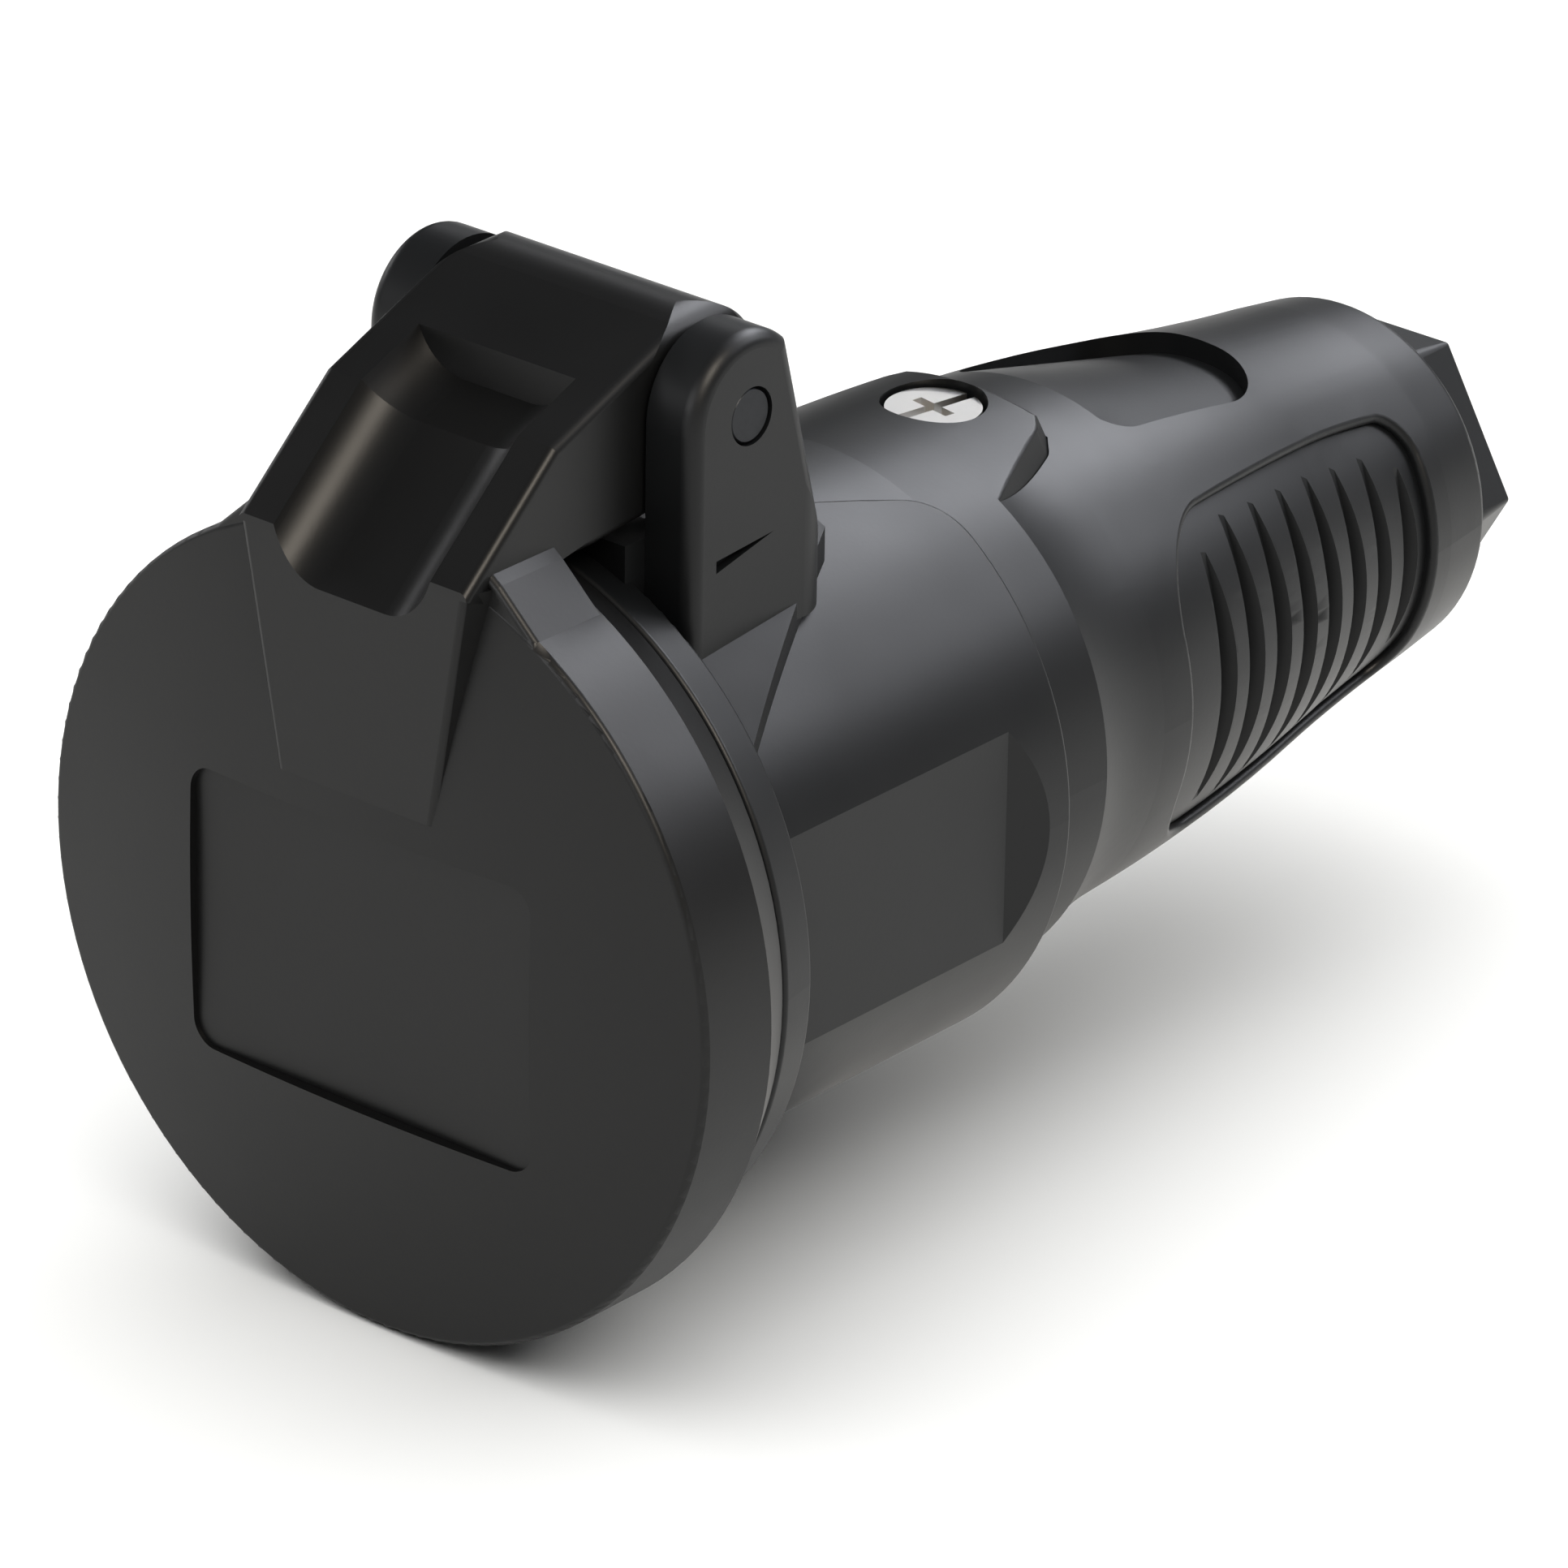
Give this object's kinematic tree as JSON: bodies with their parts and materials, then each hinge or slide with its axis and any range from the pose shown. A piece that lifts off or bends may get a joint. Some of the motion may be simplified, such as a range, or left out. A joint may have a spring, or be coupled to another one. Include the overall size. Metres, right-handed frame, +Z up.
{
  "type": "cable coupler socket",
  "caption": "Portable round socket with earth contacts, a self-closing hinged lid, a screwed handle with ribbed grips and a hexagonal cable gland.",
  "frame": {"origin": "centre of the socket's mouth, on the front face of the lid frame's ring", "axes": "+Y along the coupler from the mouth to the cable gland, +Z up towards the lid hinge, +X to the right of someone looking along +Y"},
  "size_m": [0.0622, 0.1186, 0.0752],
  "materials": {
    "housing_plastic": "matt black moulded",
    "lid_plastic": "matt charcoal moulded",
    "insert_plastic": "black moulded",
    "seal_rubber": "soft matt",
    "brass": "plain",
    "nickel_steel": "nickel plated",
    "pin_steel": "plain turned",
    "spring_steel": "drawn wire"
  },
  "bodies": {
    "coupler": {"front_housing": "housing_plastic", "lid_frame": "housing_plastic", "hinge_pin": "pin_steel", "rear_handle": "housing_plastic", "housing_screw": "nickel_steel", "lid_spring": "spring_steel", "socket_insert": "insert_plastic", "line_contact_left": "brass", "line_contact_right": "brass", "earth_strip": "brass", "terminal_block_left": "brass", "terminal_block_right": "brass", "terminal_block_earth": "brass", "terminal_screws": "nickel_steel", "insert_cover": "insert_plastic", "cover_screws": "nickel_steel", "body_seal": "seal_rubber", "screw_nut": "brass", "clamping_cage": "insert_plastic", "gland_seal": "seal_rubber"},
    "lid": {"lid": "lid_plastic", "lid_gasket": "seal_rubber"},
    "gland_washer": {"slip_washer": "nickel_steel"},
    "gland_nut": {"gland_nut": "housing_plastic"}
  },
  "joints": [
    {"name": "lid_hinge", "type": "hinge", "parent": "coupler", "child": "lid", "pos_m": [0, 0.011, 0.03735], "axis": [-1, 0, 0], "range_deg": [0, 110], "stiffness_Nm_per_rad": 0.05, "springref_deg": -34.38, "deforming": ["lid_spring"]},
    {"name": "gland_travel", "type": "slide", "parent": "coupler", "child": "gland_washer", "axis": [0, 1, 0], "range_m": [0, 0.003]},
    {"name": "gland_turn", "type": "hinge", "parent": "gland_washer", "child": "gland_nut", "pos_m": [0, 0.1, 0], "axis": [0, 1, 0], "range_deg": [0, 720]}
  ],
  "couplings": [
    {"joint": "gland_travel", "follows": "gland_turn", "m_per_rad": 0.0002387}
  ]
}
